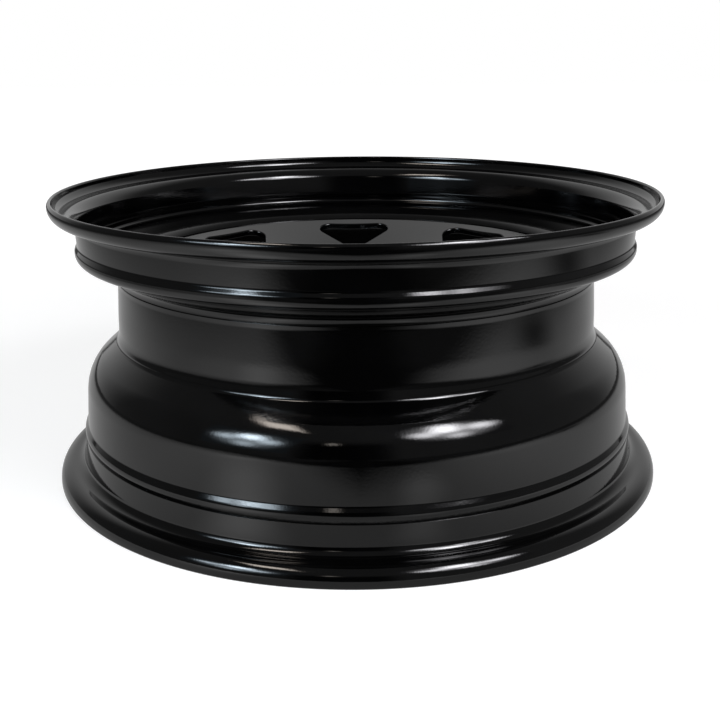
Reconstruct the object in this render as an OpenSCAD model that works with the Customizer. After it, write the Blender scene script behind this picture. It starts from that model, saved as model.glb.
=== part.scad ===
// Pressed and welded steel wheel rim, lying with its outboard face up.
// Origin: on the wheel axis, in the plane that the inboard lip rests on. +Z is outboard. Millimetres.

/* [Rim barrel] */
// Bead seat diameter where the seat meets the flange face
bead_d = 405.6; // [380:0.1:440]
// Width between the two flange faces
rim_w = 177.8; // [165:0.1:200]
// Height of a flange above the bead seat
flange_h = 17.5; // [16:0.1:19]
// How far a curled lip stands out from its flange face
lip_out = 12.7; // [12:0.1:14]
// Thickness of the rim sheet
rim_t = 3.2; // [2.6:0.1:3.6]
// Radius of the flange curl on the tyre side
curl_r = 9.5; // [9:0.1:10.5]
// Radius of the heel between flange and bead seat
heel_r = 6.5; // [5:0.1:7]
// Taper of the bead seats in degrees
seat_taper = 5; // [4:0.5:6]
// Distance from a flange face to the middle of its hump
hump_in = 24.6; // [23:0.1:26]
// Height of the corner of the inboard hump, before it is rounded, above the end of its bead seat
hump_h = 2.6; // [2:0.1:3]
// Height of the flat outboard hump above the end of its bead seat
flat_h = 1.7; // [1.3:0.1:2]
// Dip of the outboard seat at the foot of that hump
seat_dip = 0.4; // [0.1:0.1:0.5]
// Height of the inboard seat above the barrel at the foot of its hump
seat_rise = 2.6; // [1.5:0.1:3.2]

/* [Drop well] */
// Diameter of the well floor on the tyre side
well_d = 349.5; // [343:0.5:355]
// Lean of the outboard wall of the well from the plane of the wheel, in degrees
well_lean = 24; // [20:0.5:28]
// Bend radius of the upper corner of the well
well_bend = 10; // [7:0.5:12]
// Bend radius of the lower corner of the well
well_foot = 5.2; // [4:0.1:8]
// Height of the lower corner of the well above the ground
well_low = 98.4; // [95:0.1:101]
// Drop from that corner to the corner of the shoulder
shoulder_drop = 18.9; // [16:0.1:21]
// Diameter of the barrel at the shoulder
shoulder_d = 394.8; // [391:0.1:397]
// Bend radius of the shoulder
shoulder_r = 32; // [26:0.5:36]
// Diameter of the valve hole
valve_d = 11.5; // [8:0.1:16]
// Direction of the valve hole around the axis, in degrees
valve_angle = 202.5; // [180:0.5:225]

/* [Wheel disc] */
// Thickness of the disc
disc_t = 4.5; // [4:0.1:5.5]
// Height of the outboard side of the centre pad above the ground
pad_top = 134; // [129:0.1:139]
// Diameter of the flat centre pad
pad_d = 176; // [172:0.5:182]
// Rise of the vented cone in degrees
cone_rise = 16; // [13:0.5:18]
// Outside radius of the crown where the cone turns down into the skirt
crown_r = 11; // [8:0.5:14]
// Height of the lower edge of the skirt above the ground
skirt_low = 112; // [109:0.5:118]
// Gap between the skirt and the inside of the well
skirt_fit = 0.1; // [0.05:0.05:0.3]
// Number of vent windows
vent_n = 8; // [6:1:9]
// Distance from the axis to the outer side of a vent
vent_out = 148.5; // [142:0.5:150]
// Radial height of a vent between its outer side and the point where its sides would meet
vent_deep = 46.5; // [42:0.5:50]
// Angle between the two sides of a vent
vent_apex = 82; // [76:1:86]
// Corner radius at the outer side of a vent
vent_corner = 9.5; // [7:0.5:11]
// Corner radius at the inner tip of a vent
vent_tip = 8; // [6:0.5:9]

/* [Hub fitting] */
// Diameter of the hub bore
bore_d = 110; // [100:0.1:112]
// Number of stud holes
stud_n = 6; // [5:1:6]
// Diameter of the circle of studs
stud_circle = 139.7; // [139.7:0.1:142]
// Diameter of a stud hole
stud_d = 15; // [14:0.1:16]
// Largest diameter of the cone that a nut sits in
seat_d = 20; // [19:0.1:20.5]
// Angle of that cone in degrees
seat_cone = 60; // [60:5:90]
// Height of the pressed boss around a nut seat
boss_h = 2.5; // [2:0.1:3]
// Diameter of that boss at its top
boss_d = 24; // [22:0.1:24.5]

/* [Welds] */
// Number of weld runs
weld_n = 8; // [6:1:9]
// Arc of a weld run in degrees
weld_arc = 26; // [20:1:32]
// Leg of the fillet weld
weld_leg = 4; // [3:0.1:4]
// Height of the crown of the weld face
weld_crown = 0.6; // [0.2:0.1:1]

/* [Hidden] */
$fn = 180;
// Largest angle between two points on a bend
bend_step = 6;
// Length by which a cutter runs past what it cuts
past = 5;
// Bend radii of the humps and of the foot of a hump
hump_nose = 6.2;
hump_foot = 6;
// Bend radius of the ramp of the outboard hump, and its lean from the axis in degrees
flat_bend = 3.5;
flat_lean = 33;
// Drop from the middle of the outboard hump to the corner of the well's wall
wall_drop = 3.4;
// Axial length of the ramp on either side of a hump
hump_ramp = 6;
// Bend radius between the pad and the cone
pad_bend = 12;
// Chamfer of the hub bore
bore_bevel = 0.8;
// Spread of a boss from its top to its foot
boss_spread = 2;
paint = [0.05, 0.05, 0.055];
weld_paint = [0.07, 0.07, 0.075];
// The node to show

lip_r = bead_d / 2 + flange_h;
height = rim_w + 2 * lip_out;
face_top = height - lip_out;
face_low = lip_out;
well_r = well_d / 2;
well_in = well_r - rim_t;
crest_top = face_top - hump_in;
crest_low = face_low + hump_in;
// Radius of a bead seat at a distance from its flange face, and of the hump corner beyond it
function seat_r(from_face) = bead_d / 2 - from_face * tan(seat_taper);
hump_r = seat_r(hump_in - hump_ramp) + hump_h;
flat_r = seat_r(hump_in - hump_ramp) + flat_h;
// Height of the corner at the top of the well, from the lean of its wall
wall_top = crest_top - wall_drop;
well_top = wall_top - (flat_r - well_r) * tan(well_lean);
skirt_r = well_in - skirt_fit;

// The tyre side of the rim sheet from the outboard lip to the inboard lip: [radius, height, bend radius].
rim_path = [
    [lip_r, height - rim_t / 2, 0],
    [lip_r, face_top, curl_r],
    [bead_d / 2, face_top, heel_r],
    [seat_r(hump_in - hump_ramp) - seat_dip, crest_top + hump_ramp, flat_bend],
    [flat_r, crest_top + hump_ramp - (flat_h + seat_dip) / tan(flat_lean), flat_bend],
    [flat_r, wall_top, hump_nose],
    [well_r, well_top, well_bend],
    [well_r, well_low, well_foot],
    [shoulder_d / 2, well_low - shoulder_drop, shoulder_r],
    [seat_r(hump_in - hump_ramp) - seat_rise, crest_low + hump_ramp, hump_foot],
    [hump_r, crest_low, hump_nose],
    [seat_r(hump_in - hump_ramp), crest_low - hump_ramp, hump_foot],
    [bead_d / 2, face_low, heel_r],
    [lip_r, face_low, curl_r],
    [lip_r, rim_t / 2, 0]
];

// The outboard side of the disc sheet from the hub bore to the edge of the skirt.
cone_rise_at = (skirt_r - pad_d / 2) * tan(cone_rise);
disc_path = [
    [bore_d / 2, pad_top, 0],
    [pad_d / 2, pad_top, pad_bend],
    [skirt_r, pad_top + cone_rise_at, crown_r],
    [skirt_r, skirt_low, 0]
];

function unit(v) = v / norm(v);
function left(v) = [-v[1], v[0]];
function flat(p) = [p[0], p[1]];

// Points of a bend at corner b between a and c, moved off the path by shift to its right.
function bend(a, b, c, shift) =
    let (u = unit(flat(b) - flat(a)), v = unit(flat(c) - flat(b)))
    let (turn = atan2(u[0] * v[1] - u[1] * v[0], u * v), s = sign(turn))
    let (mid = flat(b) - u * b[2] * tan(abs(turn) / 2) + left(u) * s * b[2])
    let (from = atan2(-s * left(u)[1], -s * left(u)[0]), n = ceil(abs(turn) / bend_step))
    [for (i = [0 : n]) mid + (b[2] + s * shift) * [cos(from + turn * i / n), sin(from + turn * i / n)]];

// One side of a sheet that follows a path, moved off it by shift to its right.
function side(path, shift) =
    let (last = len(path) - 1)
    let (u = unit(flat(path[1]) - flat(path[0])), v = unit(flat(path[last]) - flat(path[last - 1])))
    concat([flat(path[0]) - left(u) * shift],
        [for (i = [1 : last - 1]) each bend(path[i - 1], path[i], path[i + 1], shift)],
        [flat(path[last]) - left(v) * shift]);

// Points of a half round that closes the end of a sheet, from its left side to its right, without the ends.
function round_end(p, along, t) =
    let (mid = flat(p) - left(along) * t / 2, from = atan2(left(along)[1], left(along)[0]), n = 180 / 15)
    [for (i = [1 : n - 1]) mid + t / 2 * [cos(from - 15 * i), sin(from - 15 * i)]];

// Outline of a sheet of thickness t to the right of a path, with rounded or square ends.
function sheet(path, t, rounded) =
    let (last = len(path) - 1)
    let (u = unit(flat(path[0]) - flat(path[1])), v = unit(flat(path[last]) - flat(path[last - 1])))
    let (inner = side(path, t), n = len(inner))
    concat(side(path, 0), rounded ? round_end(path[last], v, t) : [],
        [for (i = [0 : n - 1]) inner[n - 1 - i]],
        rounded ? round_end(flat(path[0]) + left(u) * t, u, t) : []);

// Outline of a vent: a triangle with its flat side outward and its corners rounded.
vent_half = vent_deep * tan(vent_apex / 2);
vent_ring = [
    [vent_out - vent_deep, 0, vent_tip],
    [vent_out, -vent_half, vent_corner],
    [vent_out, vent_half, vent_corner]
];
vent_points = [for (i = [0 : 2]) each bend(vent_ring[(i + 2) % 3], vent_ring[i], vent_ring[(i + 1) % 3], 0)];

// Section of a fillet weld: two legs and a crowned face between them.
weld_steps = 6;
weld_points = concat([[well_in, skirt_low]],
    [for (i = [0 : weld_steps])
        [well_in - weld_leg, skirt_low] + [1, -1] * weld_leg * i / weld_steps
        + [-1, -1] * weld_crown * sin(180 * i / weld_steps)]);

// Rolled rim with both flanges, humps, drop well and valve hole.
module rim_barrel() {
    wall_r = (flat_r + well_r) / 2;
    wall_z = (wall_top + well_top) / 2;
    color(paint)
    difference() {
        rotate_extrude() polygon(sheet(rim_path, rim_t, true));
        rotate([0, 0, valve_angle])
        translate([wall_r, 0, wall_z])
        rotate([0, -well_lean, 0])
        cylinder(h = 2 * (rim_t + past), d = valve_d, center = true);
    }
}

// Pressed centre with vents, hub bore and nut seats.
module wheel_disc() {
    color(paint)
    difference() {
        union() {
            rotate_extrude() polygon(sheet(disc_path, disc_t, false));
            for (i = [0 : stud_n - 1])
                rotate([0, 0, 90 + i * 360 / stud_n])
                translate([stud_circle / 2, 0, pad_top - disc_t / 2])
                cylinder(h = disc_t / 2 + boss_h, d1 = boss_d + boss_spread, d2 = boss_d);
        }
        for (i = [0 : vent_n - 1])
            rotate([0, 0, 90 + i * 360 / vent_n])
            translate([0, 0, pad_top - disc_t - past])
            linear_extrude(height = cone_rise_at + disc_t + 2 * past) polygon(vent_points);
        for (i = [0 : stud_n - 1])
            rotate([0, 0, 90 + i * 360 / stud_n])
            translate([stud_circle / 2, 0, pad_top - disc_t])
            stud_cut();
        translate([0, 0, pad_top - bore_bevel])
        cylinder(h = 2 * bore_bevel, d1 = bore_d, d2 = bore_d + 4 * bore_bevel);
    }
}

// Cutter for a stud hole and the cone of its nut seat, from the back of the pad up.
module stud_cut() {
    top = disc_t + boss_h;
    deep = (seat_d - stud_d) / 2 / tan(seat_cone / 2);
    rotate_extrude()
    polygon([[0, -past], [stud_d / 2, -past], [stud_d / 2, top - deep],
        [seat_d / 2, top], [seat_d / 2, top + past], [0, top + past]]);
}

// Fillet welds between the edge of the skirt and the inside of the well.
module weld_runs() {
    color(weld_paint)
    for (i = [0 : weld_n - 1])
        rotate([0, 0, 90 + (i + 0.5) * 360 / weld_n - weld_arc / 2])
        rotate_extrude(angle = weld_arc)
        polygon(weld_points);
}

rim_barrel();
wheel_disc();
weld_runs();
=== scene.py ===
"""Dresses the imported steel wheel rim: true bends, pressed vents, rippled welds, gloss paint and a studio."""
from __future__ import annotations

import bisect
import logging
import math
from dataclasses import dataclass
from enum import Enum
from typing import Callable, Optional, Sequence

import bpy
from mathutils import Matrix, Vector

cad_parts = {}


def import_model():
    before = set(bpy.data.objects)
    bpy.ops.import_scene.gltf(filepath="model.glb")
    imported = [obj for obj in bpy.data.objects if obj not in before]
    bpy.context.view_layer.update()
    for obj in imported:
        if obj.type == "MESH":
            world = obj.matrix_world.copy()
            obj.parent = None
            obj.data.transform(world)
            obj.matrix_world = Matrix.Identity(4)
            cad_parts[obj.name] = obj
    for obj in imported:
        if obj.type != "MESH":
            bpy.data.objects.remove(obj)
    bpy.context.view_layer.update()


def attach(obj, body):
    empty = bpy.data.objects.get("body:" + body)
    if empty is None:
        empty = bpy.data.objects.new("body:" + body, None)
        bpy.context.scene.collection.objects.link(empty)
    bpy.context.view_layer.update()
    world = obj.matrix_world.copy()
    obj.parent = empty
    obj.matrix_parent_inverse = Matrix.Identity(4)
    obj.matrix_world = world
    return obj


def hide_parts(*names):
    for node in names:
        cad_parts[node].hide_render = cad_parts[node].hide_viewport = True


LOG = logging.getLogger("wheel_rim")
MM = 0.001
BODY = "root"
COLUMNS = 384
STEP = 2 * math.pi / COLUMNS
FRAME_PX = 720
SENSOR_MM = 36.0
WHITE = (1.0, 1.0, 1.0, 1.0)
MIX_A = 6
MIX_B = 7
MIX_OUT = 2

Pair = tuple[float, float]
Triple = tuple[float, float, float]


class Side(Enum):
    """The two faces of a pressed sheet."""

    SHOW = 1.0
    BACK = -1.0


@dataclass(frozen=True)
class Corner:
    """A corner of the path that a bent sheet follows, in millimetres."""

    r: float
    z: float
    bend: float = 0.0


@dataclass(frozen=True)
class Station:
    """A point of a turned section, with the direction that the surface faces there."""

    r: float
    z: float
    nr: float
    nz: float
    tag: str = ""


def left_of(v: Pair) -> Pair:
    """The direction to the left of v."""
    return -v[1], v[0]


def quarter(steps: int) -> list[Pair]:
    """Cosine and sine of even steps over a quarter turn, from 0 to 90 degrees."""
    return [(math.cos(math.pi / 2 * i / steps), math.sin(math.pi / 2 * i / steps)) for i in range(steps + 1)]


def arc(mid: Pair, radius: float, start: float, end: float, steps: int) -> list[Station]:
    """Stations on an arc that face away from its middle.

    Args:
        mid: middle of the arc.
        radius: its radius.
        start: angle where it starts.
        end: angle where it ends.
        steps: number of steps.

    Returns:
        Stations from the first step up to the end.
    """
    out = []
    for k in range(1, steps + 1):
        a = start + (end - start) * k / steps
        cos, sin = math.cos(a), math.sin(a)
        out.append(Station(mid[0] + radius * cos, mid[1] + radius * sin, cos, sin))
    return out


@dataclass(frozen=True)
class BentSheet:
    """A sheet bent along a path, with its metal to the right of the path."""

    corners: tuple[Corner, ...]
    thickness: float
    step: float = 10.0

    def leg(self, i: int) -> Pair:
        """Direction of the path from a corner to the next.

        Args:
            i: number of the corner.

        Returns:
            The direction, one long.
        """
        a, b = self.corners[i], self.corners[i + 1]
        d = math.hypot(b.r - a.r, b.z - a.z)
        return (b.r - a.r) / d, (b.z - a.z) / d

    def bend(self, i: int, shift: float) -> list[Station]:
        """Stations of the bend at a corner.

        Args:
            i: number of the corner.
            shift: distance from the path, to its right.

        Returns:
            Stations from the start of the bend to its end, facing left of the path.
        """
        u, v = self.leg(i - 1), self.leg(i)
        c = self.corners[i]
        turn = math.atan2(u[0] * v[1] - u[1] * v[0], u[0] * v[0] + u[1] * v[1])
        s = math.copysign(1.0, turn)
        lu = left_of(u)
        run = c.bend * math.tan(abs(turn) / 2)
        mid = c.r - u[0] * run + lu[0] * s * c.bend, c.z - u[1] * run + lu[1] * s * c.bend
        start = math.atan2(-s * lu[1], -s * lu[0])
        n = max(2, math.ceil(abs(math.degrees(turn)) / self.step))
        out = []
        for k in range(n + 1):
            a = start + turn * k / n
            e = math.cos(a), math.sin(a)
            q = c.bend + s * shift
            out.append(Station(mid[0] + q * e[0], mid[1] + q * e[1], -s * e[0], -s * e[1]))
        return out

    def marks(self, i: int, shift: float, offsets: Sequence[float], tag: str) -> list[Station]:
        """Tagged stations on the leg after a corner.

        Args:
            i: number of the corner.
            shift: distance from the path, to its right.
            offsets: distances from the corner.
            tag: word that the stations carry.

        Returns:
            One station for each distance.
        """
        a, u = self.corners[i], self.leg(i)
        n = left_of(u)
        at = a.r - n[0] * shift, a.z - n[1] * shift
        return [Station(at[0] + u[0] * o, at[1] + u[1] * o, n[0], n[1], tag) for o in offsets]

    def side(self, shift: float, marked: Optional[dict[int, list[Station]]] = None) -> list[Station]:
        """Stations along one side of the sheet.

        Args:
            shift: distance from the path, to its right.
            marked: extra stations on the leg after a corner, by the number of that corner.

        Returns:
            Stations from the first corner to the last, facing left of the path.
        """
        last = len(self.corners) - 1
        first_n, last_n = left_of(self.leg(0)), left_of(self.leg(last - 1))
        a, b = self.corners[0], self.corners[last]
        out = [Station(a.r - first_n[0] * shift, a.z - first_n[1] * shift, *first_n)]
        for i in range(1, last):
            out += self.bend(i, shift)
            out += (marked or {}).get(i, [])
        out.append(Station(b.r - last_n[0] * shift, b.z - last_n[1] * shift, *last_n))
        return out

    def round_end(self, at: Station, along: Pair, steps: int = 9) -> list[Station]:
        """Stations of the half round that closes an end of the sheet.

        Args:
            at: last station on the left side.
            along: direction of the path at that end.
            steps: number of steps around.

        Returns:
            Stations from the left side to the right, without both ends.
        """
        n = left_of(along)
        half = self.thickness / 2
        mid = at.r - n[0] * half, at.z - n[1] * half
        start = math.atan2(n[1], n[0])
        return arc(mid, half, start, start - math.pi, steps)[:-1]


def turned_over(stations: Sequence[Station]) -> list[Station]:
    """The same stations in reverse order, facing the other way."""
    return [Station(s.r, s.z, -s.nr, -s.nz, s.tag) for s in reversed(stations)]


def placed(name: str, data: bpy.types.ID) -> bpy.types.Object:
    """Makes an object of a mesh or a camera and links it to the scene.

    Args:
        name: name of the object.
        data: its mesh or camera.

    Returns:
        The object.
    """
    obj = bpy.data.objects.new(name, data)
    bpy.context.scene.collection.objects.link(obj)
    return obj


class Skin:
    """Collects points, the true directions that the surface faces at them, and faces."""

    def __init__(self) -> None:
        """Starts with nothing in it."""
        self.points: list[Triple] = []
        self.normals: list[Triple] = []
        self.faces: list[tuple[int, ...]] = []

    def add(self, point: Triple, normal: Triple) -> int:
        """Adds a point.

        Args:
            point: its place, in millimetres.
            normal: direction that the surface faces there, of any length.

        Returns:
            Its number.
        """
        size = math.sqrt(sum(c * c for c in normal)) or 1.0
        self.points.append(point)
        self.normals.append((normal[0] / size, normal[1] / size, normal[2] / size))
        return len(self.points) - 1

    def face(self, *ids: int) -> None:
        """Adds a face, turned so that it faces the way its points do.

        Args:
            *ids: numbers of its points, in order around it.
        """
        a, b, c = (Vector(self.points[i]) for i in (ids[0], ids[1], ids[-1]))
        way = sum((Vector(self.normals[i]) for i in ids), Vector())
        self.faces.append(ids if (b - a).cross(c - a).dot(way) >= 0 else tuple(reversed(ids)))

    def ring(self, s: Station) -> list[int]:
        """Adds a full turn of points at a station.

        Args:
            s: the station.

        Returns:
            Their numbers, in order around the axis.
        """
        out = []
        for j in range(COLUMNS):
            cos, sin = math.cos(j * STEP), math.sin(j * STEP)
            out.append(self.add((s.r * cos, s.r * sin, s.z), (s.nr * cos, s.nr * sin, s.nz)))
        return out

    def strip(self, a: Sequence[int], b: Sequence[int], skip: Sequence[int] = ()) -> None:
        """Joins two closed loops of the same length with quads.

        Args:
            a: first loop.
            b: second loop.
            skip: places in the loops to leave open.
        """
        n = len(a)
        for j in range(n):
            if j not in skip:
                self.face(a[j], b[j], b[(j + 1) % n], a[(j + 1) % n])

    def chain(self, loops: Sequence[Sequence[int]]) -> None:
        """Joins each loop of a row of loops with the next."""
        for a, b in zip(loops, loops[1:]):
            self.strip(a, b)

    def fan(self, a: Sequence[int], at_a: Sequence[float], b: Sequence[int], at_b: Sequence[float]) -> None:
        """Joins two closed loops of different lengths with triangles, by the angle of their points.

        Args:
            a: first loop, in order of angle.
            at_a: angles of its points, rising over less than a turn.
            b: second loop, in the same order.
            at_b: angles of its points, rising over less than a turn.
        """
        i = j = 0
        turn = 2 * math.pi
        next_a = list(at_a[1:]) + [at_a[0] + turn]
        next_b = list(at_b[1:]) + [at_b[0] + turn]
        while i < len(a) or j < len(b):
            if j >= len(b) or (i < len(a) and next_a[i] <= next_b[j]):
                self.face(a[i], a[(i + 1) % len(a)], b[j % len(b)])
                i += 1
            else:
                self.face(b[j], b[(j + 1) % len(b)], a[i % len(a)])
                j += 1

    def piece(self, name: str, finish: bpy.types.Material,
              sharp: Optional[float] = None) -> bpy.types.Object:
        """Makes the object, in metres, with its finish and its true normals.

        Args:
            name: name of the piece.
            finish: its material.
            sharp: angle from which edges are sharp, in place of the true normals.

        Returns:
            The object.
        """
        mesh = bpy.data.meshes.new(name)
        mesh.from_pydata([(x * MM, y * MM, z * MM) for x, y, z in self.points], [], self.faces)
        mesh.shade_smooth()
        mesh.materials.append(finish)
        mesh.validate()
        if sharp is None:
            mesh.normals_split_custom_set_from_vertices(self.normals)
        else:
            mesh.set_sharp_from_angle(angle=sharp)
        return placed(name, mesh)


def settle(obj: bpy.types.Object, node: str) -> None:
    """Gives a piece its body, hides the CAD node that it stands for, and reports it.

    Args:
        obj: the piece.
        node: name of the CAD node.
    """
    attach(obj, BODY)
    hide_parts(node)
    LOG.info("%s: %d faces, stands for %s", obj.name, len(obj.data.polygons), node)


class Nodes:
    """A short way to write a node tree."""

    def __init__(self, tree: bpy.types.NodeTree) -> None:
        """Empties the tree that it writes to."""
        self.tree = tree
        tree.nodes.clear()

    def new(self, kind: str, values: Optional[dict] = None, **settings: object) -> bpy.types.Node:
        """Adds a node.

        Args:
            kind: type of node, without its ShaderNode prefix.
            values: what goes into its sockets, a value or another node's output, by name or number.
            **settings: the node's own properties.

        Returns:
            The node.
        """
        node = self.tree.nodes.new("ShaderNode" + kind)
        for key, value in settings.items():
            setattr(node, key, value)
        for key, value in (values or {}).items():
            if isinstance(value, bpy.types.NodeSocket):
                self.tree.links.new(value, node.inputs[key])
            else:
                node.inputs[key].default_value = value
        return node

    def math(self, way: str, a: object, b: object = 0.0) -> bpy.types.NodeSocket:
        """Adds a step of arithmetic on one or two values and returns its result."""
        return self.new("Math", {0: a, 1: b}, operation=way).outputs[0]

    def mix(self, share: object, a: object, b: object) -> bpy.types.NodeSocket:
        """Adds a mix of two colours and returns it."""
        return self.new("Mix", {"Factor": share, MIX_A: a, MIX_B: b}, data_type="RGBA").outputs[MIX_OUT]

    def noise(self, place: object, scale: float, detail: float) -> bpy.types.NodeSocket:
        """Adds a noise and returns it."""
        return self.new("TexNoise", {"Vector": place, "Scale": scale, "Detail": detail}).outputs["Fac"]

    def away(self, place: object, spot: Triple = (0.0, 0.0, 0.0)) -> bpy.types.NodeSocket:
        """Adds the distance of a place from a spot and returns it."""
        return self.new("VectorMath", {0: place, 1: spot}, operation="DISTANCE").outputs["Value"]

    def span(self, value: object, low: float, high: float, to_low: float,
             to_high: float) -> bpy.types.NodeSocket:
        """Adds a smooth step.

        Args:
            value: what is stepped.
            low: value where the step starts.
            high: value where it ends.
            to_low: result up to the start.
            to_high: result from the end on.

        Returns:
            The result.
        """
        node = self.new("MapRange", {"Value": value, "From Min": low, "From Max": high,
                                     "To Min": to_low, "To Max": to_high}, interpolation_type="SMOOTHSTEP")
        return node.outputs["Result"]


def blank_material(name: str) -> tuple[bpy.types.Material, Nodes]:
    """Makes a material with an empty node tree.

    Args:
        name: name of the material.

    Returns:
        The material, and the writer of its nodes.
    """
    mat = bpy.data.materials.new(name)
    mat.use_nodes = True
    return mat, Nodes(mat.node_tree)


@dataclass(frozen=True)
class GlossPaint:
    """Gloss black paint over pressed steel: a near black with a soft, slightly uneven shine."""

    name: str = "gloss_black_paint"
    dark: Triple = (0.0003, 0.0003, 0.00035)
    light: Triple = (0.0009, 0.0009, 0.0010)
    smooth: float = 0.045
    dull: float = 0.085
    patch_scale: float = 26.0
    patch_detail: float = 4.0
    rough_from: Pair = (0.3, 0.7)
    tint_from: Pair = (0.35, 0.65)
    peel_scale: float = 620.0
    peel_detail: float = 2.0
    peel_depth: float = 0.00002
    wave_scale: float = 16.0
    wave_detail: float = 1.0
    wave_depth: float = 0.00018
    dust_scale: float = 55.0
    dust_edge: Pair = (0.012, 0.020)
    dust_rare: float = 0.985
    dust: Triple = (0.35, 0.35, 0.36)
    ior: float = 1.5

    def material(self) -> bpy.types.Material:
        """Builds the paint.

        Returns:
            The material.
        """
        mat, n = blank_material(self.name)
        place = n.new("TexCoord").outputs["Object"]
        patch = n.noise(place, self.patch_scale, self.patch_detail)
        rough = n.span(patch, *self.rough_from, self.smooth, self.dull)
        share = n.span(patch, *self.tint_from, 0.0, 1.0)
        tint = n.mix(share, (*self.dark, 1.0), (*self.light, 1.0))
        mote = n.new("TexVoronoi", {"Vector": place, "Scale": self.dust_scale}, feature="F1")
        near = n.span(mote.outputs["Distance"], *self.dust_edge, 1.0, 0.0)
        pick = n.new("SeparateColor", {"Color": mote.outputs["Color"]}).outputs[0]
        speck = n.math("MULTIPLY", near, n.math("GREATER_THAN", pick, self.dust_rare))
        dusty = n.mix(speck, tint, (*self.dust, 1.0))
        wave = n.noise(place, self.wave_scale, self.wave_detail)
        peel = n.noise(place, self.peel_scale, self.peel_detail)
        sway = n.new("Bump", {"Height": wave, "Strength": 1.0, "Distance": self.wave_depth})
        skin = n.new("Bump", {"Height": peel, "Strength": 1.0, "Distance": self.peel_depth,
                              "Normal": sway.outputs["Normal"]})
        shader = n.new("BsdfPrincipled", {"Base Color": dusty, "Roughness": rough,
                                          "Normal": skin.outputs["Normal"], "IOR": self.ior})
        n.new("OutputMaterial", {"Surface": shader.outputs[0]})
        return mat


WELD_PAINT = GlossPaint(name="weld_paint", smooth=0.16, dull=0.28, peel_depth=0.00004)


@dataclass(frozen=True)
class Rounding:
    """The rounded edge of an opening through a sheet."""

    radius: float
    steps: int = 4

    def rings(self) -> list[tuple[float, float, float, float]]:
        """Distance from the wall, depth, and shares of the wall's and the face's ways, from the wall out."""
        return [(self.radius * (1 - c), self.radius * (1 - s), c, s) for c, s in quarter(self.steps)]


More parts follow.
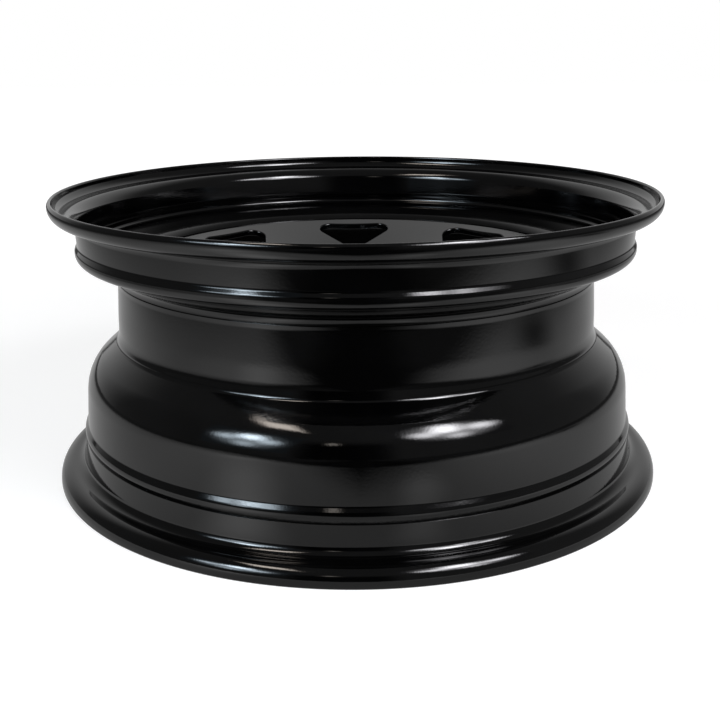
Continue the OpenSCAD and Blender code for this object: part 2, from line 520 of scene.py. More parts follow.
@dataclass
class RimBarrel:
    """The rolled rim: curled flanges, tapered seats with humps, a drop well and the valve hole."""

    bead_r: float = 202.8
    lip_r: float = 220.3
    height: float = 203.2
    lip_out: float = 12.7
    sheet: float = 3.2
    curl: float = 9.5
    heel: float = 6.5
    seat_taper: float = math.radians(5.0)
    hump_in: float = 24.6
    hump_rise: float = 2.6
    flat_rise: float = 1.7
    flat_bend: float = 3.5
    flat_lean: float = math.radians(33.0)
    seat_dip: float = 0.4
    wall_drop: float = 3.4
    hump_nose: float = 6.2
    hump_foot: float = 6.0
    hump_ramp: float = 6.0
    seat_rise: float = 2.6
    well_r: float = 174.75
    well_lean: float = math.radians(24.0)
    well_bend: float = 10.0
    well_foot: float = 5.2
    well_low: float = 98.4
    shoulder_drop: float = 18.9
    shoulder_r: float = 197.4
    shoulder_bend: float = 32.0
    well_swell: float = 0.1
    ramp_lean: float = math.radians(27.0)
    top_dip: float = 0.75
    top_bend: float = 6.6
    groove_z: float = 144.7
    groove_wide: float = 0.6
    groove_deep: float = 0.3
    groove_edge: float = 0.08
    ledge_out: float = 0.3
    ledge_edge: float = 0.3
    ledge_z: float = 141.6
    ledge_bend: float = 12.0
    well_z: float = 118.0
    well_ease: float = 200.0
    lip_turn: float = math.radians(40.0)
    lip_outer: float = 4.0
    foot_lead: tuple[Triple, ...] = ((0.0, 105.9, 25.0), (1.04, 101.4, 8.0), (1.40, 99.2, 4.2))
    shoulder_swell: float = 0.7
    low_hump: tuple[Triple, ...] = ((199.6, 41.9, 2.6), (202.3, 37.0, 6.5), (200.95, 32.0, 0.1),
                                    (200.45, 31.75, 0.05), (201.13, 31.35, 0.08))
    back_step: float = 15.0
    valve_r: float = 5.75
    valve_round: float = 0.5
    valve_tries: int = 4
    valve_column: int = 216
    valve_patch: float = 7.6
    valve_columns: int = 3
    valve_points: int = 48
    wall_leg: int = 5

    @property
    def seat_end(self) -> float:
        """Radius at the end of a bead seat's taper."""
        return self.bead_r - (self.hump_in - self.hump_ramp) * math.tan(self.seat_taper)

    @property
    def wall_top(self) -> Corner:
        """Corner where the flat hump turns into the outboard wall of the well."""
        z = self.height - self.lip_out - self.hump_in - self.wall_drop
        return Corner(self.seat_end + self.flat_rise, z, self.hump_nose)

    def on_wall(self, r: float) -> float:
        """Height of the outboard wall of the well at a radius."""
        return self.wall_top.z - (self.wall_top.r - r) * math.tan(self.well_lean)

    def flanges(self) -> tuple[list[Corner], list[Corner]]:
        """Corners of both flanges.

        Returns:
            The outboard flange down to its seat, and the inboard flange from its seat on.
        """
        top, low, half = self.height - self.lip_out, self.lip_out, self.sheet / 2
        upper = [Corner(self.lip_r, self.height - half), Corner(self.lip_r, top, self.curl),
                 Corner(self.bead_r, top, self.heel)]
        lower = [Corner(self.bead_r, low, self.heel), Corner(self.lip_r, low, self.curl),
                 Corner(self.lip_r, half)]
        return upper, lower

    def flat_hump(self, dip: float, lean: float) -> list[Corner]:
        """Corners of the flat hump beside the outboard seat.

        Args:
            dip: depth of the seat's end below its taper.
            lean: slope of the ramp from the seat up to the hump.

        Returns:
            Corners from the seat over the ramp to the top of the wall.
        """
        z = self.height - self.lip_out - self.hump_in + self.hump_ramp
        run = (self.flat_rise + dip) / math.tan(lean)
        return [Corner(self.seat_end - dip, z, self.flat_bend),
                Corner(self.wall_top.r, z - run, self.flat_bend), self.wall_top]

    def back_path(self) -> BentSheet:
        """The sheet as the solid has it, for its inner side.

        Returns:
            The sheet from the outboard lip to the inboard one.
        """
        upper, lower = self.flanges()
        crest = self.lip_out + self.hump_in
        return BentSheet((
            *upper,
            *self.flat_hump(self.seat_dip, self.flat_lean),
            Corner(self.well_r, self.on_wall(self.well_r), self.well_bend),
            Corner(self.well_r, self.well_low, self.well_foot),
            Corner(self.shoulder_r, self.well_low - self.shoulder_drop, self.shoulder_bend),
            Corner(self.seat_end - self.seat_rise, crest + self.hump_ramp, self.hump_foot),
            Corner(self.seat_end + self.hump_rise, crest, self.hump_nose),
            Corner(self.seat_end, crest - self.hump_ramp, self.hump_foot),
            *lower,
        ), self.sheet, self.back_step)

    def show_path(self) -> BentSheet:
        """The side that shows, with its traces of rolling: a groove, soft lead-ins and a narrow lower hump.

        Returns:
            The sheet from the outboard lip to the inboard one.
        """
        upper, lower = self.flanges()
        well = self.well_r + self.well_swell
        deep = well - self.top_dip
        z, half = self.groove_z, self.groove_wide / 2
        return BentSheet((
            Corner(self.lip_r, self.lip_end()[-1].z),
            *upper[1:],
            *self.flat_hump(0.0, self.ramp_lean),
            Corner(deep, self.on_wall(deep), self.top_bend),
            Corner(deep, z + half, self.groove_edge),
            Corner(deep - self.groove_deep, z, self.groove_edge),
            Corner(deep + self.ledge_out, z - half, self.ledge_edge),
            Corner(deep, self.ledge_z, self.ledge_bend),
            Corner(well, self.well_z, self.well_ease),
            *(Corner(well + out, height, bend) for out, height, bend in self.foot_lead),
            Corner(self.shoulder_r + self.shoulder_swell, self.well_low - self.shoulder_drop,
                   self.shoulder_bend),
            *(Corner(r, height, bend) for r, height, bend in self.low_hump),
            *lower,
        ), self.sheet)

    def lip_end(self, steps: int = 9) -> list[Station]:
        """The end of the outboard lip, with a wider round outside than inside.

        Args:
            steps: number of steps on each round.

        Returns:
            Stations from the inner side over the top to the outer one.
        """
        cos, sin = math.cos(self.lip_turn), math.sin(self.lip_turn)
        wide = self.lip_outer
        small = (self.sheet - wide * (1 - cos)) / (1 + cos)
        mid = self.lip_r - self.sheet + small, self.height - small
        foot = mid[0] - (wide - small) * cos, mid[1] - (wide - small) * sin
        inside = arc(mid, small, math.pi, self.lip_turn, steps)
        return inside + arc(foot, wide, self.lip_turn, 0.0, steps)

    def section(self) -> list[Station]:
        """The closed outline of the sheet.

        Returns:
            Stations around it, with the valve's rows marked on both sides of the well's wall.
        """
        path, drawn = self.show_path(), self.back_path()
        mid = (self.wall_top.r - self.well_r) / math.cos(self.well_lean) / 2
        rows = (mid - self.valve_patch, mid + self.valve_patch)
        show = path.side(0.0, {self.wall_leg: path.marks(self.wall_leg, 0.0, rows, "valve")})
        back = drawn.side(self.sheet, {self.wall_leg: drawn.marks(self.wall_leg, self.sheet, rows, "valve")})
        tail = path.leg(len(path.corners) - 2)
        return show + path.round_end(show[-1], tail) + turned_over(back) + self.lip_end()[:-1]

    def build(self, finish: bpy.types.Material) -> bpy.types.Object:
        """Turns the section around the axis and opens the valve hole in it.

        Args:
            finish: the paint.

        Returns:
            The piece.
        """
        skin = Skin()
        section = self.section()
        rings = [skin.ring(s) for s in section]
        gap = range(self.valve_column - self.valve_columns, self.valve_column + self.valve_columns)
        walls = []
        for i, s in enumerate(section):
            k = (i + 1) % len(section)
            if s.tag and section[k].tag:
                skin.strip(rings[i], rings[k], gap)
                walls.append(self.valve_edge(skin, section[i], section[k], rings[i], rings[k]))
            else:
                skin.strip(rings[i], rings[k])
        skin.strip(walls[0], walls[1])
        obj = skin.piece("rim_barrel_rolled", finish)
        settle(obj, "rim_barrel")
        return obj

    def valve_edge(self, skin: Skin, a: Station, b: Station, row_a: list[int],
                   row_b: list[int]) -> list[int]:
        """Fills the patch around the valve hole on one side of the wall, up to its rounded edge.

        Args:
            skin: mesh in the making.
            a: marked station above or before the hole.
            b: marked station after it.
            row_a: points of the ring at a.
            row_b: points of the ring at b.

        Returns:
            The loop of points where the rounded edge meets the wall of the hole.
        """
        column, reach = self.valve_column, self.valve_columns
        mid_r, mid_z = (a.r + b.r) / 2, (a.z + b.z) / 2
        angle = column * STEP
        cos, sin = math.cos(angle), math.sin(angle)
        centre = Vector((mid_r * cos, mid_r * sin, mid_z))
        up = Vector(((a.r - b.r) * cos, (a.r - b.r) * sin, a.z - b.z)).normalized()
        across = Vector((-sin, cos, 0.0))
        axis = Vector((a.nr * cos, a.nr * sin, a.nz))

        def settled(point: Vector) -> tuple[Vector, Vector]:
            """Moves a point along the hole's axis onto the wall.

            Args:
                point: a point near the wall.

            Returns:
                The point on the wall, and the way that the wall faces there.
            """
            for _ in range(self.valve_tries):
                r = math.hypot(point.x, point.y)
                off = (r - mid_r) * a.nr + (point.z - mid_z) * a.nz
                point = point - axis * off
            r = math.hypot(point.x, point.y)
            return point, Vector((a.nr * point.x / r, a.nr * point.y / r, a.nz))

        loops = []
        angles = [2 * math.pi * k / self.valve_points for k in range(self.valve_points)]
        for out, deep, wall, face in Rounding(self.valve_round).rings():
            loop = []
            for t in angles:
                away = across * math.cos(t) + up * math.sin(t)
                point, way = settled(centre + away * (self.valve_r + out))
                loop.append(skin.add(tuple(point - axis * deep), tuple(way * face - away * wall)))
            loops.append(loop)
        skin.chain(loops)
        cols = range(column - reach, column + reach + 1)
        edge = [row_a[j] for j in cols] + [row_b[j] for j in cols]
        seen = []
        for i in edge:
            d = Vector(skin.points[i]) - centre
            seen.append((math.atan2(d.dot(up), d.dot(across)) % (2 * math.pi), i))
        seen.sort()
        skin.fan([i for _, i in seen], [t for t, _ in seen], loops[-1], angles)
        return loops[0]


Outline = Callable[[float], tuple[float, float, float, float]]


@dataclass
class WheelDisc:
    """The pressed centre: a flat pad with nut seats, a vented cone, a crown and a skirt inside the well."""

    sheet: float = 4.5
    bore_r: float = 55.0
    bore_bevel: float = 0.8
    pad_top: float = 134.0
    pad_r: float = 88.0
    pad_bend: float = 12.0
    cone_rise: float = math.radians(16.0)
    skirt_r: float = 171.45
    skirt_low: float = 112.0
    crown: float = 11.0
    vents: int = 8
    vent_out: float = 148.5
    vent_deep: float = 46.5
    vent_apex: float = math.radians(82.0)
    vent_corner: float = 9.5
    vent_tip: float = 8.0
    vent_eye: float = 132.0
    vent_edge: float = 1.0
    studs: int = 6
    stud_circle_r: float = 69.85
    stud_r: float = 7.5
    seat_r: float = 10.0
    seat_half: float = math.radians(30.0)
    boss_rise: float = 2.5
    boss_r: float = 12.0
    boss_foot: float = 12.53
    pad_from: float = 56.1
    pad_to: float = 86.2
    cone_from: float = 91.2
    cone_to: float = 155.0
    back_edge: float = 0.5
    bend_step: float = 4.0
    vent_grain: float = 0.4
    vent_steps: int = 24
    vent_shares: tuple[float, ...] = (0.1, 0.25, 0.45, 0.7)
    stud_steps: int = 16
    stud_shares: tuple[float, ...] = (0.15, 0.4, 0.7)
    stud_edge: float = 0.2
    cone_start: Pair = (0.08, 0.1)
    cone_end: Pair = (0.15, 0.3)
    seat_edge: Pair = (0.02, 0.06)
    seat_flat: float = 0.25
    boss_crest: float = 0.8
    boss_fillet: float = 0.9
    boss_tuck: float = 0.1
    boss_steps: int = 4
    bore_soft: float = 0.1
    bore_ease: float = 0.15
    skirt_edge: float = 0.6
    skirt_steps: int = 3

    def path(self) -> BentSheet:
        """The bent sheet of the disc.

        Returns:
            The sheet from the hub bore to the edge of the skirt.
        """
        brow = self.pad_top + (self.skirt_r - self.pad_r) * math.tan(self.cone_rise)
        return BentSheet((
            Corner(self.bore_r, self.pad_top),
            Corner(self.pad_r, self.pad_top, self.pad_bend),
            Corner(self.skirt_r, brow, self.crown),
            Corner(self.skirt_r, self.skirt_low),
        ), self.sheet, self.bend_step)

    def level(self, r: float, side: Side) -> float:
        """Height of a face of the disc, on the pad or on the cone.

        Args:
            r: radius.
            side: face of the disc.

        Returns:
            The height.
        """
        if r < self.pad_r:
            return self.pad_top - (self.sheet if side is Side.BACK else 0.0)
        down = self.sheet / math.cos(self.cone_rise) if side is Side.BACK else 0.0
        return self.pad_top + (r - self.pad_r) * math.tan(self.cone_rise) - down

    def facing(self, x: float, y: float, side: Side) -> Vector:
        """Direction that a face of the disc looks, on the pad or on the cone.

        Args:
            x: place to the right.
            y: place to the back.
            side: face of the disc.

        Returns:
            The direction, one long.
        """
        r = math.hypot(x, y)
        lean = self.cone_rise if r > self.pad_r else 0.0
        return Vector((-math.sin(lean) * x / r, -math.sin(lean) * y / r, math.cos(lean))) * side.value

    def flat_ring(self, skin: Skin, r: float, side: Side) -> list[int]:
        """Adds a full turn of points on a face of the pad or of the cone.

        Args:
            skin: mesh in the making.
            r: radius of the ring.
            side: face of the disc.

        Returns:
            The numbers of the points.
        """
        way = self.facing(r, 0.0, side)
        return skin.ring(Station(r, self.level(r, side), way.x, way.z))

    def vent_outline(self, step: float = 3.0) -> Outline:
        """Outline of a vent, a triangle with rounded corners, seen from a point inside it.

        Args:
            step: degrees between points on a rounded corner.

        Returns:
            A function from an angle to the place on the outline and its direction away from the vent.
        """
        half = self.vent_deep * math.tan(self.vent_apex / 2)
        ring = (Corner(self.vent_out - self.vent_deep, 0.0, self.vent_tip),
                Corner(self.vent_out, -half, self.vent_corner),
                Corner(self.vent_out, half, self.vent_corner))
        found = []
        for i in range(3):
            sheet = BentSheet((ring[i - 1], ring[i], ring[(i + 1) % 3]), 0.0, step)
            found += [(s.r, s.z, -s.nr, -s.nz) for s in sheet.bend(1, 0.0)]
        dense = []
        for i, a in enumerate(found):
            b = found[(i + 1) % len(found)]
            n = max(1, int(math.hypot(b[0] - a[0], b[1] - a[1]) / self.vent_grain))
            dense += [tuple(a[k] + (b[k] - a[k]) * m / n for k in range(4)) for m in range(n)]
        table = sorted((math.atan2(p[1], p[0] - self.vent_eye), p) for p in dense)
        keys = [t for t, _ in table]

        def at(angle: float) -> tuple[float, float, float, float]:
            """Finds the outline at an angle.

            Args:
                angle: angle seen from the point inside the vent.

            Returns:
                The place on the outline and its direction away from the vent.
            """
            k = bisect.bisect_left(keys, angle)
            (t0, p0), (t1, p1) = table[k - 1], table[k % len(table)]
            if k in (0, len(table)):
                return p1
            f = (angle - t0) / max(t1 - t0, 1e-9)
            return tuple(p0[m] + (p1[m] - p0[m]) * f for m in range(4))

        return at

    def boundary(self, skin: Skin, side: Side, count: int, k: int, inner: list[int], outer: list[int],
                 rays: dict[tuple[int, int], int], steps: int) -> list[int]:
        """Loop of points around one sector of a ring-shaped zone.

        Args:
            skin: mesh in the making.
            side: face of the disc.
            count: number of sectors.
            k: number of this sector.
            inner: ring at the zone's inner radius.
            outer: ring at its outer radius.
            rays: points on the lines between sectors, shared with the neighbours.
            steps: steps along such a line.

        Returns:
            The loop, in order of angle around the sector's middle.
        """
        wide = COLUMNS // count
        first = (COLUMNS // 4 + k * wide - wide // 2) % COLUMNS
        cols = [(first + j) % COLUMNS for j in range(wide + 1)]

        def ray(column: int) -> list[int]:
            """Points on the line between two sectors, made once.

            Args:
                column: column of the line.

            Returns:
                Their numbers, from the inner ring out.
            """
            out = []
            for s in range(1, steps):
                if (column, s) not in rays:
                    a, b = Vector(skin.points[inner[column]]), Vector(skin.points[outer[column]])
                    p = a.lerp(b, s / steps)
                    rays[column, s] = skin.add(tuple(p), tuple(self.facing(p.x, p.y, side)))
                out.append(rays[column, s])
            return out

        return ([inner[c] for c in cols] + ray(cols[-1]) + [outer[c] for c in reversed(cols)]
                + list(reversed(ray(cols[0]))))

    def vent_face(self, skin: Skin, side: Side, inner: list[int], outer: list[int]) -> list[list[int]]:
        """Covers one face of the vented cone.

        Args:
            skin: mesh in the making.
            side: face of the disc.
            inner: ring where the cone starts.
            outer: ring where the crown starts.

        Returns:
            The loop where the rounded edge of each vent meets its wall.
        """
        at = self.vent_outline()
        edge = Rounding(self.vent_edge if side is Side.SHOW else self.back_edge)
        rays: dict[tuple[int, int], int] = {}
        found = []
        for k in range(self.vents):
            turn = Matrix.Rotation(math.pi / 2 + k * 2 * math.pi / self.vents, 3, "Z")
            back = turn.transposed()
            loop = self.boundary(skin, side, self.vents, k, inner, outer, rays, self.vent_steps)
            spots = [back @ Vector(skin.points[i]) for i in loop]
            marks = [at(math.atan2(p.y, p.x - self.vent_eye)) for p in spots]
            rings = []
            for out, deep, wall, face in edge.rings():
                ring = []
                for u, v, nu, nv in marks:
                    p = turn @ Vector((u + nu * out, v + nv * out, 0.0))
                    away = turn @ Vector((nu, nv, 0.0))
                    p.z = self.level(math.hypot(p.x, p.y), side) - deep * side.value
                    ring.append(skin.add(tuple(p), tuple(self.facing(p.x, p.y, side) * face - away * wall)))
                rings.append(ring)
            rings += self.spread(skin, side, rings[-1], loop, self.vent_shares)
            skin.chain(rings + [loop])
            found.append(rings[0])
        return found

    def spread(self, skin: Skin, side: Side, a: list[int], b: list[int],
               shares: Sequence[float]) -> list[list[int]]:
        """Adds loops of points on a face of the disc between two loops.

        Args:
            skin: mesh in the making.
            side: face of the disc.
            a: loop at the start.
            b: loop at the end.
            shares: shares of the way from a to b.

        Returns:
            One loop for each share.
        """
        loops = []
        for share in shares:
            loop = []
            for i, j in zip(a, b):
                p = Vector(skin.points[i]).lerp(Vector(skin.points[j]), share)
                p.z = self.level(math.hypot(p.x, p.y), side)
                loop.append(skin.add(tuple(p), tuple(self.facing(p.x, p.y, side))))
            loops.append(loop)
        return loops

    def seat_profile(self) -> list[Station]:
        """Section of a nut seat and its boss.

        Returns:
            Stations from the stud hole out to the pad.
        """
        top = self.pad_top + self.boss_rise
        deep = (self.seat_r - self.stud_r) / math.tan(self.seat_half)
        cone = -math.cos(self.seat_half), math.sin(self.seat_half)
        lean = math.atan2(self.boss_foot - self.boss_r, self.boss_rise)
        flank = math.cos(lean), math.sin(lean)
        crest, foot = self.boss_crest, self.boss_fillet
        base = self.boss_foot - self.boss_tuck
        out = [Station(self.stud_r, top - deep - self.stud_edge, -1.0, 0.0),
               Station(self.stud_r + self.cone_start[0], top - deep + self.cone_start[1], *cone),
               Station(self.seat_r - self.cone_end[0], top - self.cone_end[1], *cone),
               Station(self.seat_r + self.seat_edge[0], top - self.seat_edge[1], -0.5, 0.85),
               Station(self.seat_r + self.seat_flat, top, 0.0, 1.0)]
        for c, s in reversed(quarter(self.boss_steps)):
            out.append(Station(self.boss_r - crest + crest * c, top - crest + crest * s, c, s))
        out.append(Station(base, self.pad_top + foot, *flank))
        for c, s in quarter(self.boss_steps)[1:]:
            out.append(Station(base + foot * (1 - c), self.pad_top + foot * (1 - s), c, s))
        return out

    def stud_face(self, skin: Skin, side: Side, inner: list[int], outer: list[int]) -> list[list[int]]:
        """Covers one face of the pad, with the nut seats on the side that shows.

        Args:
            skin: mesh in the making.
            side: face of the disc.
            inner: ring at the edge of the hub bore.
            outer: ring where the pad starts to bend.

        Returns:
            The loop at the top or bottom of each stud hole's wall.
        """
        if side is Side.SHOW:
            profile = self.seat_profile()
        else:
            low = self.pad_top - self.sheet
            profile = [Station(self.stud_r + out, low + deep, -wall, -face)
                       for out, deep, wall, face in Rounding(self.back_edge).rings()]
        rays: dict[tuple[int, int], int] = {}
        found = []
        for k in range(self.studs):
            angle = math.pi / 2 + k * 2 * math.pi / self.studs
            eye = Vector((self.stud_circle_r * math.cos(angle), self.stud_circle_r * math.sin(angle), 0.0))
            loop = self.boundary(skin, side, self.studs, k, inner, outer, rays, self.stud_steps)
            ways = []
            for i in loop:
                x, y, _ = skin.points[i]
                ways.append(Vector((x - eye.x, y - eye.y, 0.0)).normalized())
            rings = []
            for s in profile:
                ring = []
                for w in ways:
                    spot = eye.x + w.x * s.r, eye.y + w.y * s.r, s.z
                    ring.append(skin.add(spot, (w.x * s.nr, w.y * s.nr, s.nz)))
                rings.append(ring)
            rings += self.spread(skin, side, rings[-1], loop, self.stud_shares)
            skin.chain(rings + [loop])
            found.append(rings[0])
        return found

    def bore_section(self) -> list[Station]:
        """Section of the hub bore's edge.

        Returns:
            Stations from the show face of the pad to the back.
        """
        r, top, low, cut = self.bore_r, self.pad_top, self.pad_top - self.sheet, self.bore_bevel
        slope = math.sqrt(0.5)
        soft, ease, edge = self.bore_soft, self.bore_ease, self.back_edge
        return [Station(r + cut + soft, top, 0.0, 1.0),
                Station(r + cut - soft, top - soft, -slope, slope),
                Station(r + soft, top - cut + soft, -slope, slope),
                Station(r, top - cut - ease, -1.0, 0.0),
                Station(r, low + edge, -1.0, 0.0),
                Station(r + ease, low + ease, -slope, -slope),
                Station(r + edge, low, 0.0, -1.0)]

    def crown_section(self) -> list[Station]:
        """Section of the crown and the skirt.

        Returns:
            Stations from the show face of the cone around the edge to its back.
        """
        path = self.path()
        show, back = path.bend(2, 0.0), path.bend(2, self.sheet)
        r, low, t, e = self.skirt_r, self.skirt_low, self.sheet, self.skirt_edge
        out = list(show)
        for c, s in quarter(self.skirt_steps):
            out.append(Station(r - e + e * c, low + e - e * s, c, -s))
        for c, s in reversed(quarter(self.skirt_steps)):
            out.append(Station(r - t + e - e * c, low + e - e * s, -c, -s))
        return out + turned_over(back)

    def build(self, finish: bpy.types.Material) -> bpy.types.Object:
        """Builds the disc zone by zone: bore, pad, pad bend, vented cone, crown and skirt.

        Args:
            finish: the paint.

        Returns:
            The piece.
        """
        skin = Skin()
        path = self.path()
        walls: dict[Side, list[list[int]]] = {}
        ends: dict[Side, tuple[list[int], list[int]]] = {}
        for side in Side:
            shift = 0.0 if side is Side.SHOW else self.sheet
            rings = [self.flat_ring(skin, r, side) for r in (self.pad_from, self.pad_to)]
            knee = path.bend(1, shift)
            if side is Side.BACK:
                knee = list(reversed(turned_over(knee)))
            knee_rings = [skin.ring(s) for s in knee]
            cone = [self.flat_ring(skin, r, side) for r in (self.cone_from, self.cone_to)]
            skin.chain([rings[1]] + knee_rings + [cone[0]])
            walls[side] = self.stud_face(skin, side, *rings) + self.vent_face(skin, side, *cone)
            ends[side] = rings[0], cone[1]
        for a, b in zip(walls[Side.SHOW], walls[Side.BACK]):
            skin.strip(a, b)
        for which, section in ((0, self.bore_section()), (1, self.crown_section())):
            rings = [skin.ring(s) for s in section]
            skin.chain([ends[Side.SHOW][which]] + rings + [ends[Side.BACK][which]])
        obj = skin.piece("wheel_disc_pressed", finish)
        settle(obj, "wheel_disc")
        return obj


@dataclass
class WeldRuns:
    """The fillet welds between the edge of the skirt and the inside of the well, with rippled faces."""

    count: int = 8
    arc: float = math.radians(26.0)
    leg: float = 4.0
    crown: float = 0.6
    well_in: float = 171.55
    low: float = 112.0
    ripple: float = 0.16
    pitch: float = 2.3
    steps: int = 160
    across: int = 10
    end_run: float = 1.6
    end_size: float = 0.35
    wander: tuple[Pair, ...] = ((0.04, 0.37), (0.03, 0.83))
    lag: float = 0.55
    toe: float = math.radians(50.0)

    def slice(self, skin: Skin, angle: float, along: float, total: float) -> list[int]:
        """Points of one slice through a run: its root and its rippled face.

        Args:
            skin: mesh in the making.
            angle: where the slice stands around the axis.
            along: distance from the start of the run.
            total: length of the run.

        Returns:
            The loop of points.
        """
        end = min(along, total - along) / (self.end_run * self.leg)
        grow = math.sqrt(max(0.0, 1 - (1 - min(1.0, end)) ** 2))
        sway = 1 + sum(share * math.sin(along * rate) for share, rate in self.wander)
        size = min(self.leg, self.leg * (self.end_size + (1 - self.end_size) * grow) * sway)
        cos, sin = math.cos(angle), math.sin(angle)
        out = [skin.add((self.well_in * cos, self.well_in * sin, self.low), (cos, sin, 0.5))]
        for k in range(self.across + 1):
            f = k / self.across
            bow = math.sin(math.pi * f)
            wave = math.sin(2 * math.pi * (along / self.pitch + self.lag * bow))
            lift = bow * (self.crown * size / self.leg + self.ripple * (wave - 1) * grow)
            r = self.well_in - size + size * f - lift * math.sqrt(0.5)
            z = self.low - size * f - lift * math.sqrt(0.5)
            out.append(skin.add((r * cos, r * sin, z), (-cos, -sin, -1.0)))
        return out

    def build(self, finish: bpy.types.Material) -> bpy.types.Object:
        """Lofts each run through its slices.

        Args:
            finish: the paint.

        Returns:
            The piece.
        """
        skin = Skin()
        total = self.well_in * self.arc
        for i in range(self.count):
            start = math.pi / 2 + (i + 0.5) * 2 * math.pi / self.count - self.arc / 2
            loops = []
            for k in range(self.steps + 1):
                share = k / self.steps
                loops.append(self.slice(skin, start + self.arc * share, total * share, total))
            n = len(loops[0])
            for a, b in zip(loops, loops[1:]):
                for j in range(n):
                    m = (j + 1) % n
                    skin.faces.append((a[j], a[m], b[m], b[j]))
            skin.faces.append(tuple(reversed(loops[0])))
            skin.faces.append(tuple(loops[-1]))
        obj = skin.piece("weld_runs_rippled", finish, self.toe)
        settle(obj, "weld_runs")
        return obj


@dataclass(frozen=True)
class Bulb:
    """A bright patch on a soft light, in degrees from its middle, seen from the wheel."""

    across: float
    up: float
    reach: float
    level: float


class Sheet(Enum):
    """Shapes of a soft light."""

    ROUND = "round"
    DIAMOND = "diamond"


@dataclass(frozen=True)
class Softbox:
    """A soft light that faces the wheel: a pale sheet with bulbs that shine through it."""

    name: str
    azimuth: float
    elevation: float
    roll: float
    half: Pair
    level: float
    colour: Triple
    bulbs: tuple[Bulb, ...] = ()
    shape: Sheet = Sheet.ROUND
    fade: float = 0.1
    edge: float = 0.13
    distance: float = 1.6
    aim: Triple = (0.0, 0.0, 0.08)

    def span(self, degrees: float) -> float:
        """Length on the sheet that the wheel sees under an angle from its middle."""
        return self.distance * math.tan(math.radians(degrees))

    def material(self) -> bpy.types.Material:
        """Builds the glow of the sheet, brighter in front of each bulb.

        Returns:
            The material.
        """
        mat, n = blank_material(self.name)
        place = n.new("TexCoord").outputs["Object"]
        axes = n.new("SeparateXYZ", {0: place}).outputs
        across = n.math("DIVIDE", n.math("ABSOLUTE", axes["X"]), self.span(self.half[0]))
        up = n.math("DIVIDE", n.math("ABSOLUTE", axes["Y"]), self.span(self.half[1]))
        if self.shape is Sheet.DIAMOND:
            out = n.math("ADD", across, up)
        else:
            squares = n.math("ADD", n.math("MULTIPLY", across, across), n.math("MULTIPLY", up, up))
            out = n.math("SQRT", squares)
        total = n.span(out, self.fade, 1.0, self.level, self.edge)
        for bulb in self.bulbs:
            away = n.away(place, (self.span(bulb.across), self.span(bulb.up), 0.0))
            total = n.math("ADD", total, n.span(away, 0.0, self.span(bulb.reach), bulb.level, 0.0))
        glow = n.new("Emission", {"Color": (*self.colour, 1.0), "Strength": total})
        n.new("OutputMaterial", {"Surface": glow.outputs[0]})
        return mat

    def corners(self) -> list[Triple]:
        """Corners of the sheet.

        Returns:
            Four corners, in metres around its middle.
        """
        w, h = self.span(self.half[0]), self.span(self.half[1])
        if self.shape is Sheet.DIAMOND:
            return [(-w, 0.0, 0.0), (0.0, -h, 0.0), (w, 0.0, 0.0), (0.0, h, 0.0)]
        return [(-w, -h, 0.0), (w, -h, 0.0), (w, h, 0.0), (-w, h, 0.0)]

    def stand(self) -> Matrix:
        """Place of the light, turned to face the wheel.

        Returns:
            The matrix of the light.
        """
        az, el = math.radians(self.azimuth), math.radians(self.elevation)
        way = Vector((math.sin(az) * math.cos(el), -math.cos(az) * math.cos(el), math.sin(el)))
        right = Vector((math.cos(az), math.sin(az), 0.0))
        up = way.cross(right)
        turn = Matrix((right, up, way)).transposed() @ Matrix.Rotation(math.radians(self.roll), 3, "Z")
        return Matrix.Translation(Vector(self.aim) + way * self.distance) @ turn.to_4x4()


LEFT_BOX = Softbox(
    "softbox_left", azimuth=-46.0, elevation=26.0, roll=0.0, half=(19.5, 18.5), level=3.8,
    colour=(0.84, 0.98, 1.10), aim=(-0.09, -0.175, 0.09),
    bulbs=(Bulb(0.0, 6.5, 9.0, 26.0), Bulb(-9.9, 1.0, 8.0, 7.5), Bulb(8.8, 1.0, 8.0, 8.5),
           Bulb(0.0, -8.5, 8.0, 5.0)))
RIGHT_BOX = Softbox(
    "softbox_right", azimuth=45.0, elevation=45.0, roll=0.0, half=(21.5, 20.5), level=5.6,
    colour=(1.0, 0.99, 1.03), aim=(0.08, -0.18, 0.09),
    bulbs=(Bulb(-1.4, 3.5, 9.5, 24.0), Bulb(1.8, 10.5, 9.0, 18.0), Bulb(-11.7, -0.5, 9.5, 13.0),
           Bulb(12.3, 1.0, 10.0, 15.0), Bulb(-1.0, -10.5, 8.0, 9.0)))
WARM_BAR = Softbox(
    "warm_bar", azimuth=-51.0, elevation=61.5, roll=-20.0, half=(19.0, 7.5), level=11.0,
    colour=(1.0, 0.90, 0.81), aim=(-0.07, -0.18, 0.10), shape=Sheet.DIAMOND, fade=0.3, distance=1.9)
SMALL_LAMP = Softbox(
    "small_lamp", azimuth=-11.0, elevation=32.0, roll=0.0, half=(4.0, 4.0), level=2.4,
    colour=(1.0, 0.92, 0.84), aim=(-0.02, -0.195, 0.09))


@dataclass(frozen=True)
class PaintedPool:
    """A painted pool of light in the table's reflection, or a darker patch where its level is below zero, in
    metres.
    """

    x: float
    y: float
    reach: float
    level: float


